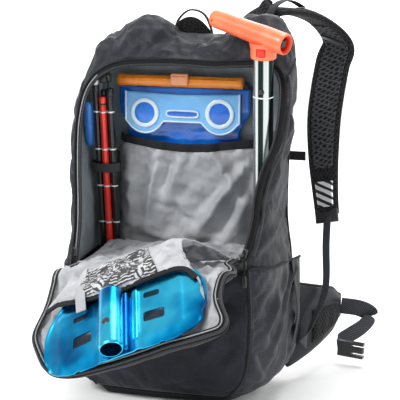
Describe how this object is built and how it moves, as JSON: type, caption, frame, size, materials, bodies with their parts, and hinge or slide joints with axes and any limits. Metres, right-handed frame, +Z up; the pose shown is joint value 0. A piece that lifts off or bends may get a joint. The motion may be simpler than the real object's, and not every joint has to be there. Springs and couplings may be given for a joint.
{
  "type": "ski touring backpack",
  "caption": "Touring pack with its tool flap open, holding a two-piece snow shovel, a folded probe and a drinking bladder",
  "frame": {"origin": "on the flat underside of the base, midway between the side walls, 86 mm in front of the back panel", "axes": "+Z up, +Y towards the wearer, +X to the right of a viewer facing the open front"},
  "size_m": [0.5274, 0.6431, 0.5829],
  "materials": {
    "mesh_pad": "open mesh over foam",
    "shell_fabric": "ripstop weave, soft sheen",
    "lining_fabric": "thin coated lining, wrinkled",
    "black_webbing": "woven webbing",
    "grey_webbing": "woven webbing",
    "black_plastic": "moulded, satin",
    "frame_plastic": "sheet, matt",
    "blade_alloy": "blue anodised, satin",
    "shaft_alloy": "clear anodised, polished",
    "grip_plastic": "moulded, satin",
    "probe_black": "black anodised, gloss",
    "probe_red": "red anodised, gloss",
    "blue_plastic": "moulded, gloss",
    "bladder_film": "translucent film",
    "closure_plastic": "moulded, gloss",
    "zip_metal": "black, satin"
  },
  "bodies": {
    "pack": {"back_pad_left": "mesh_pad", "back_pad_right": "mesh_pad", "back_panel": "mesh_pad", "base": "shell_fabric", "body_zip_tape": "black_webbing", "frame_sheet": "frame_plastic", "grab_loop": "black_webbing", "hood": "shell_fabric", "hydration_sleeve": "lining_fabric", "lining_ledge": "lining_fabric", "load_lifter_left": "black_webbing", "load_lifter_right": "black_webbing", "lower_front": "shell_fabric", "lumbar_pad": "mesh_pad", "mesh_collar": "mesh_pad", "shoulder_strap_left": "mesh_pad", "shoulder_strap_right": "mesh_pad", "side_wall_left": "shell_fabric", "side_wall_right": "shell_fabric", "side_wing_left": "shell_fabric", "side_wing_right": "shell_fabric", "sleeve_binding": "grey_webbing", "strap_webbing_left": "grey_webbing", "strap_webbing_right": "grey_webbing", "tool_loop": "grey_webbing"},
    "sternum": {"sternum_webbing_left": "black_webbing", "sternum_webbing_right": "black_webbing", "sternum_buckle": "black_plastic"},
    "flap_base": {"flap_shell_lower": "shell_fabric", "flap_lining_lower": "lining_fabric"},
    "flap_end": {"flap_shell_upper": "shell_fabric", "flap_lining_upper": "lining_fabric", "blade_pocket": "lining_fabric", "flap_zip_tape": "black_webbing"},
    "blade": {"shovel_blade": "blade_alloy", "blade_socket": "blade_alloy"},
    "handle": {"shovel_shaft": "shaft_alloy", "shovel_grip": "grip_plastic"},
    "button": {"shaft_button": "black_plastic"},
    "probe": {"probe_head": "black_plastic", "probe_segment_left": "probe_black", "probe_segment_rear": "probe_black", "probe_segment_red": "probe_red", "probe_segment_right": "probe_black", "probe_tip_cap": "blue_plastic"},
    "bladder": {"bladder_bag": "bladder_film", "bladder_slide_closure": "closure_plastic", "bladder_clip": "closure_plastic"},
    "fin_right": {"hip_fin_right": "mesh_pad", "hip_pocket_right": "shell_fabric", "belt_webbing_right": "grey_webbing"},
    "fin_left": {"hip_fin_left": "mesh_pad", "hip_pocket_left": "shell_fabric", "belt_webbing_left": "grey_webbing"},
    "buckle_male": {"belt_buckle_male": "black_plastic"},
    "buckle_female": {"belt_buckle_female": "black_plastic"},
    "slider_left": {"zip_slider_left": "zip_metal"},
    "slider_right": {"zip_slider_right": "zip_metal"},
    "pull_left": {"zip_pull_left": "black_webbing"},
    "pull_right": {"zip_pull_right": "black_webbing"}
  },
  "joints": [
    {"name": "flap_fold", "type": "hinge", "parent": "pack", "child": "flap_base", "pos_m": [-0.0035, -0.092, 0.213], "axis": [0.995, 0, 0.0998], "range_deg": [-90, 0]},
    {"name": "flap_crease", "type": "hinge", "parent": "flap_base", "child": "flap_end", "pos_m": [-0.00473, -0.22342, 0.22531], "axis": [0.9477, -0.2944, 0.123], "range_deg": [-43, 0]},
    {"name": "blade_slide", "type": "slide", "parent": "flap_end", "child": "blade", "axis": [0.2933, -0.8003, -0.5229], "range_m": [0, 0.12]},
    {"name": "handle_slide", "type": "slide", "parent": "pack", "child": "handle", "axis": [0.0249, -0.1309, 0.9911], "range_m": [0, 0.42]},
    {"name": "button_press", "type": "slide", "parent": "handle", "child": "button", "axis": [0, 0.9914, 0.131], "range_m": [0, 0.003], "stiffness_N_per_m": 300},
    {"name": "probe_lift", "type": "slide", "parent": "pack", "child": "probe", "axis": [-0.0051, -0.1065, 0.9943], "range_m": [0, 0.015]},
    {"name": "bladder_lift", "type": "slide", "parent": "pack", "child": "bladder", "axis": [0, 0, 1], "range_m": [0, 0.035]},
    {"name": "sternum_height", "type": "slide", "parent": "pack", "child": "sternum", "axis": [0, 0, 1], "range_m": [-0.02, 0.03]},
    {"name": "fin_right_fold", "type": "hinge", "parent": "pack", "child": "fin_right", "pos_m": [0.152, 0.097, 0.084], "axis": [0, 0, 1], "range_deg": [-4, 40]},
    {"name": "fin_left_fold", "type": "hinge", "parent": "pack", "child": "fin_left", "pos_m": [-0.152, 0.097, 0.084], "axis": [0, 0, -1], "range_deg": [-4, 40]},
    {"name": "buckle_male_swing", "type": "hinge", "parent": "fin_right", "child": "buckle_male", "pos_m": [0.212, 0.188, 0.028], "axis": [0, 0, 1], "range_deg": [-12, 12]},
    {"name": "buckle_female_swing", "type": "hinge", "parent": "fin_left", "child": "buckle_female", "pos_m": [-0.212, 0.188, 0.028], "axis": [0, 0, -1], "range_deg": [-12, 12]},
    {"name": "zip_left", "type": "slide", "parent": "pack", "child": "slider_left", "axis": [0.017, 0.2852, 0.9583], "range_m": [0, 0.025]},
    {"name": "zip_right", "type": "slide", "parent": "pack", "child": "slider_right", "axis": [0.24, 0.2707, 0.9322], "range_m": [0, 0.025]},
    {"name": "pull_left_swing", "type": "hinge", "parent": "slider_left", "child": "pull_left", "pos_m": [-0.12841, -0.09394, 0.22498], "axis": [1, 0, 0], "range_deg": [-32, 0]},
    {"name": "pull_right_swing", "type": "hinge", "parent": "slider_right", "child": "pull_right", "pos_m": [0.13194, -0.09701, 0.24081], "axis": [1, 0, 0], "range_deg": [-32, 0]}
  ],
  "couplings": [
    {"joint": "flap_crease", "follows": "flap_fold", "ratio": 0.47}
  ]
}
